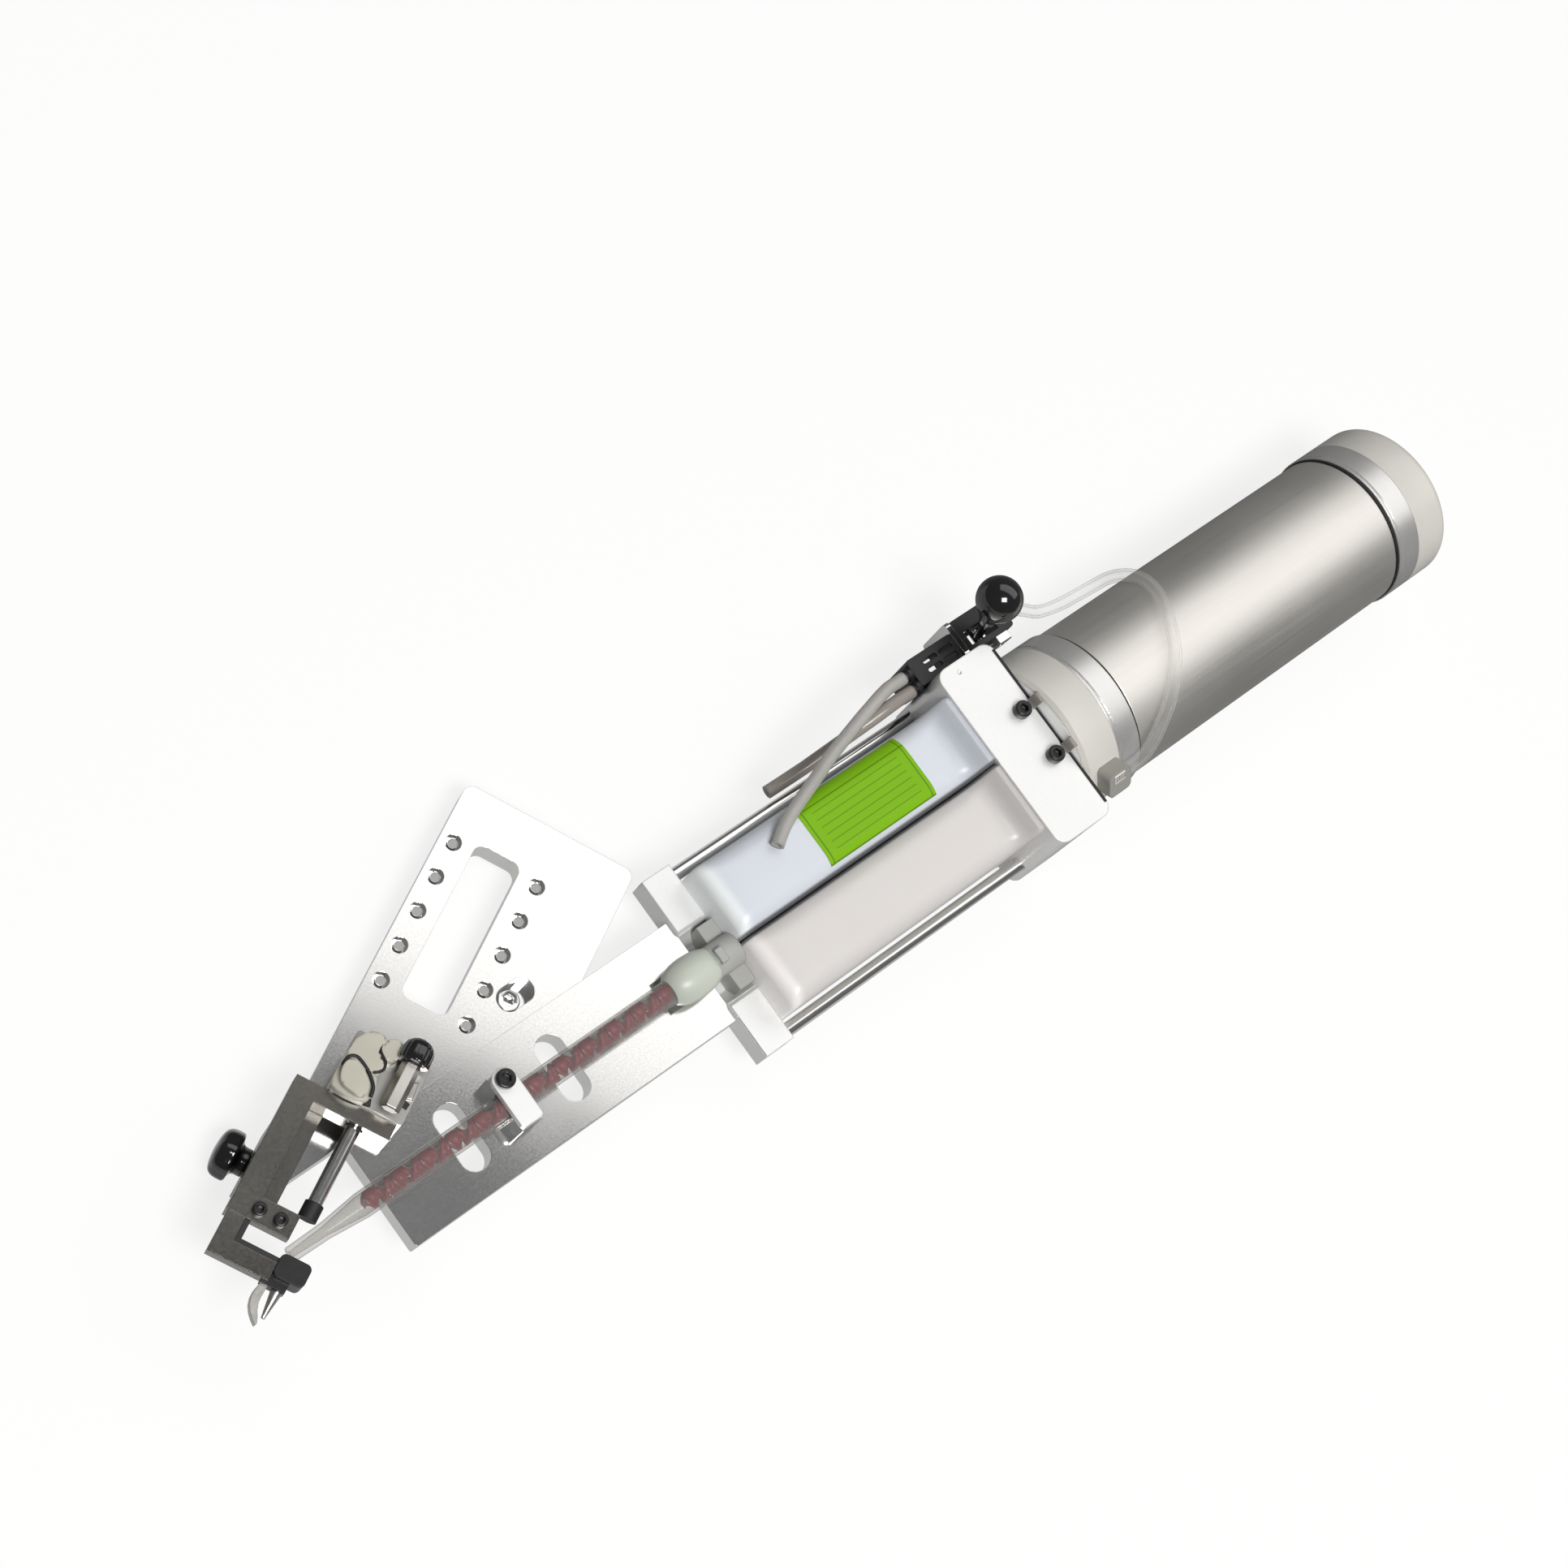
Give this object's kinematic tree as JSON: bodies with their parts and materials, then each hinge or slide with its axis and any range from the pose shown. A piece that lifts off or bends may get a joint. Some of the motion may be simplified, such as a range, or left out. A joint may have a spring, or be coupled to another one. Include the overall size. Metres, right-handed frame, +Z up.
{
  "type": "glue dispensing valve",
  "caption": "Pneumatic two-part adhesive dispensing valve: air cylinder, twin cartridge, static mixer, tip shut-off with outlet cone, and a slotted mounting plate.",
  "frame": {"origin": "on the lower face of the adapter plate, between its long window and its oval slot, 21.3 mm below the air cylinder axis", "axes": "+X along the air cylinder to its rear cap, +Z up out of the mounting plate, +Y towards the adapter plate and the hand valve"},
  "size_m": [0.4423, 0.1105, 0.0594],
  "materials": {
    "tube_alu": "satin drawn",
    "ring_alu": "turned",
    "pale_plastic": "moulded, satin",
    "black_rubber": "matt",
    "dark_alu": "anodised, satin",
    "polished_steel": "polished",
    "black_plastic": "satin",
    "white_plastic": "satin",
    "black_oxide": "black oxide",
    "barrel_blue": "satin, milky",
    "barrel_pink": "satin, milky",
    "nose_grey": "satin",
    "label_green": "printed film",
    "nut_plastic": "glossy",
    "clear_plastic": "clear plastic",
    "mixer_red": "glossy",
    "frame_alu": "bead blasted, pale",
    "cylinder_alu": "anodised",
    "black_gloss": "glossy",
    "cast_beige": "cast",
    "tip_steel": "ground",
    "hose_grey": "satin hose",
    "hose_brown": "satin hose",
    "hose_clear": "milky hose"
  },
  "bodies": {
    "frame": {"air_tube": "tube_alu", "front_collar": "pale_plastic", "front_ring": "ring_alu", "rear_ring": "ring_alu", "rear_cap": "pale_plastic", "tube_gaskets": "black_rubber", "rear_block": "white_plastic", "block_screws": "black_oxide", "tie_rod_left": "polished_steel", "tie_rod_right": "polished_steel", "yoke_block": "white_plastic", "barrel_left": "barrel_blue", "barrel_right": "barrel_pink", "cartridge_head": "nose_grey", "cartridge_label": "label_green", "bayonet_nut": "nut_plastic", "mixer_tube": "clear_plastic", "mixer_element": "mixer_red", "base_plate": "frame_alu", "adapter_plate": "frame_alu", "slot_bolt": "polished_steel", "clamp_base": "frame_alu", "clamp_screw": "black_oxide", "clamp_frame": "dark_alu", "frame_spacer": "dark_alu", "frame_screws": "polished_steel", "mini_cylinder": "cylinder_alu", "flow_body": "polished_steel", "elbow_fitting": "cast_beige", "elbow_bolt": "polished_steel", "outlet_bracket": "dark_alu", "bracket_liner": "black_rubber", "outlet_block": "black_plastic", "outlet_tip": "tip_steel", "tip_blade": "tip_steel", "valve_bracket": "polished_steel", "valve_cover": "black_plastic", "valve_body": "black_plastic", "valve_nut": "polished_steel", "push_collars": "black_plastic", "port_fitting": "nose_grey", "free_hose": "hose_grey", "side_hose": "hose_brown", "tube_hose": "hose_clear"},
    "drive": {"air_piston": "dark_alu", "push_rod_left": "polished_steel", "push_rod_right": "polished_steel", "push_disc_left": "black_plastic", "push_disc_right": "black_plastic", "plunger_left": "white_plastic", "plunger_right": "white_plastic"},
    "shutoff": {"needle_rod": "polished_steel", "rod_pad": "black_rubber"},
    "clamp_bar": {"clamp_bar": "white_plastic"},
    "thumb_screw": {"thumb_knob": "black_plastic"},
    "flow_screw": {"flow_knob": "black_gloss"},
    "hand_lever": {"valve_lever": "polished_steel", "lever_ball": "black_gloss"}
  },
  "joints": [
    {"name": "drive_stroke", "type": "slide", "parent": "frame", "child": "drive", "axis": [-1, 0, 0], "range_m": [0, 0.078]},
    {"name": "shutoff_stroke", "type": "slide", "parent": "frame", "child": "shutoff", "axis": [0.8821, 0.471, 0], "range_m": [0, 0.008]},
    {"name": "clamp_bar_swing", "type": "hinge", "parent": "frame", "child": "clamp_bar", "pos_m": [-0.0339, -0.0196, 0.0263], "axis": [0, 0, 1], "range_deg": [0, 85]},
    {"name": "thumb_turn", "type": "hinge", "parent": "frame", "child": "thumb_screw", "pos_m": [-0.09704, 0.00279, 0.0042], "axis": [-0.471, 0.8821, 0], "range_deg": [0, 180]},
    {"name": "flow_turn", "type": "hinge", "parent": "frame", "child": "flow_screw", "pos_m": [-0.05278, -0.00283, 0.0309], "axis": [0.8821, 0.471, 0], "range_deg": [0, 270]},
    {"name": "lever_swing", "type": "hinge", "parent": "frame", "child": "hand_lever", "pos_m": [0.1645, 0.0095, 0.0253], "axis": [0, 1, 0], "range_deg": [-25, 25]}
  ]
}
